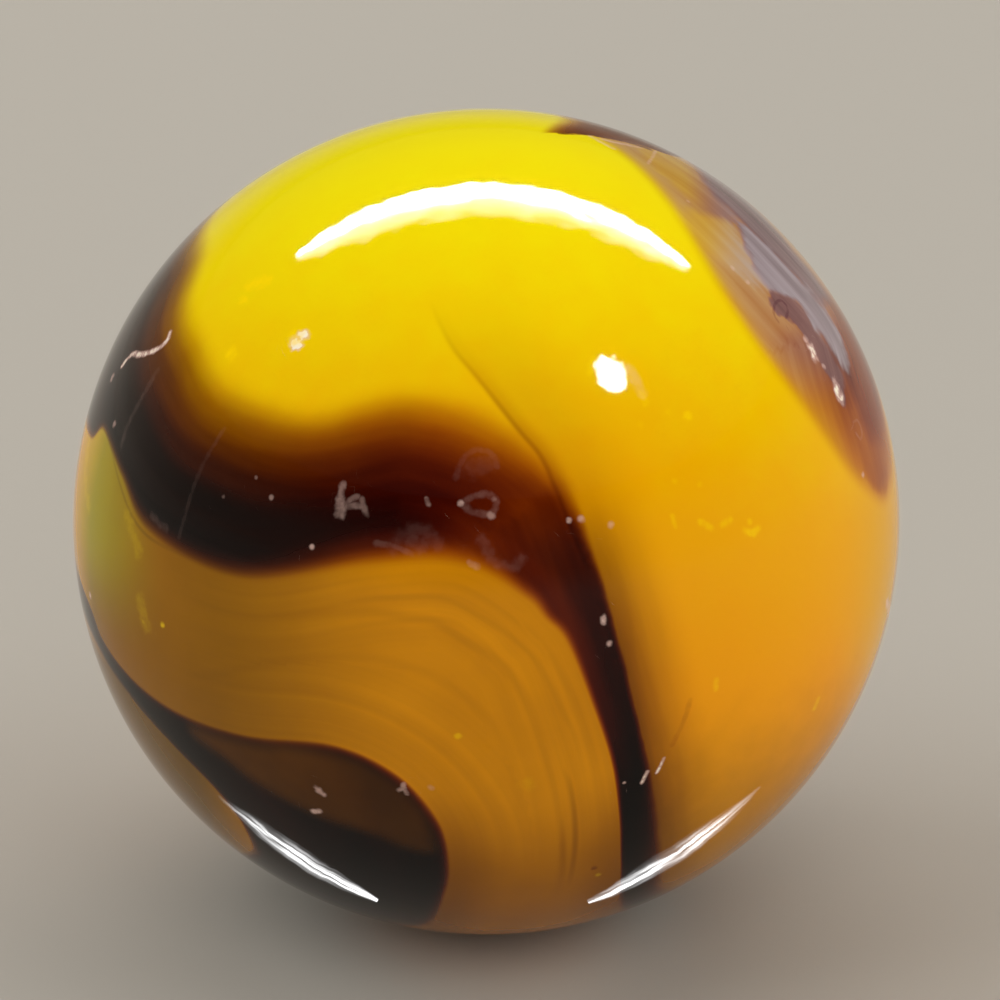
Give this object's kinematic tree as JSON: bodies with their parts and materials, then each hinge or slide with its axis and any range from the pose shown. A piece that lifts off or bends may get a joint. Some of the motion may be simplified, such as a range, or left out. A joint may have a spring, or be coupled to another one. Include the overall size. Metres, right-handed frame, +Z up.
{
  "type": "glass marble",
  "caption": "Solid glass ball, golden yellow with a folded oxblood ribbon swirl and an amber tongue, for play, as a small weight, or as a rolling ball.",
  "frame": {"origin": "centre of the ball", "axes": "+Z up, -Y towards the front with the S bend of the ribbon, +X to the right"},
  "size_m": [0.0158, 0.0158, 0.016],
  "materials": {
    "swirl_glass": "fire-polished opaque to translucent glass, golden yellow with an oxblood ribbon"
  },
  "bodies": {
    "root": {"marble": "swirl_glass"}
  },
  "joints": []
}
